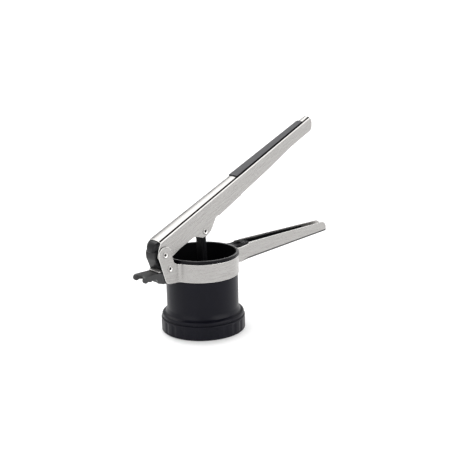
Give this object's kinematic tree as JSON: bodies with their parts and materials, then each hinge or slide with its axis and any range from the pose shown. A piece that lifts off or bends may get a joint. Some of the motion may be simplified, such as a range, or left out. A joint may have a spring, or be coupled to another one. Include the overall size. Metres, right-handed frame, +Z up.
{
  "type": "potato ricer",
  "caption": "Adjustable potato ricer: black hopper on a turning base, steel band with handle, hinged press handle, plunger and pot rest.",
  "frame": {"origin": "bottom centre of the bounding box, on the table the base stands on", "axes": "+X along the lower handle from the hinge end to its tip, +Y across the tool, +Z up the hopper's axis"},
  "size_m": [0.296, 0.1, 0.2358],
  "materials": {
    "black_plastic": "satin moulded nylon",
    "satin_steel": "satin stainless steel",
    "soft_grip": "matt soft moulding"
  },
  "bodies": {
    "frame": {"hopper": "black_plastic", "sieve_disc": "satin_steel", "centre_bolt": "satin_steel", "centre_nut": "satin_steel", "spring_washer": "satin_steel", "band_frame": "satin_steel", "handle_liner": "black_plastic", "channel_filler": "black_plastic", "pot_rest": "black_plastic", "stop_plate": "satin_steel", "pivot_rivet": "satin_steel", "pivot_washers": "black_plastic", "block_rivet": "satin_steel"},
    "handle": {"upper_handle": "satin_steel", "grip_insert": "soft_grip", "grip_clip": "black_plastic", "end_cap": "black_plastic", "hinge_barrel": "black_plastic", "plunger_rivet": "satin_steel", "rod_spacers": "black_plastic"},
    "plunger": {"plunger_rod": "black_plastic", "press_disc": "black_plastic", "disc_screw": "satin_steel"},
    "dial": {"dial_ring": "black_plastic", "selector_disc": "satin_steel"}
  },
  "joints": [
    {"name": "handle_hinge", "type": "hinge", "parent": "frame", "child": "handle", "pos_m": [-0.1175, 0, 0.1045], "axis": [0, -1, 0], "range_deg": [-25.5, 22]},
    {"name": "plunger_swing", "type": "hinge", "parent": "handle", "child": "plunger", "pos_m": [-0.05629, 0, 0.12044], "axis": [0, -1, 0], "range_deg": [-17, 19.5]},
    {"name": "dial_turn", "type": "hinge", "parent": "frame", "child": "dial", "pos_m": [-0.056, 0, 0], "axis": [0, 0, 1], "range_deg": [-13.33, 13.33]}
  ],
  "couplings": [
    {"joint": "plunger_swing", "follows": "handle_hinge", "ratio": -0.76}
  ]
}
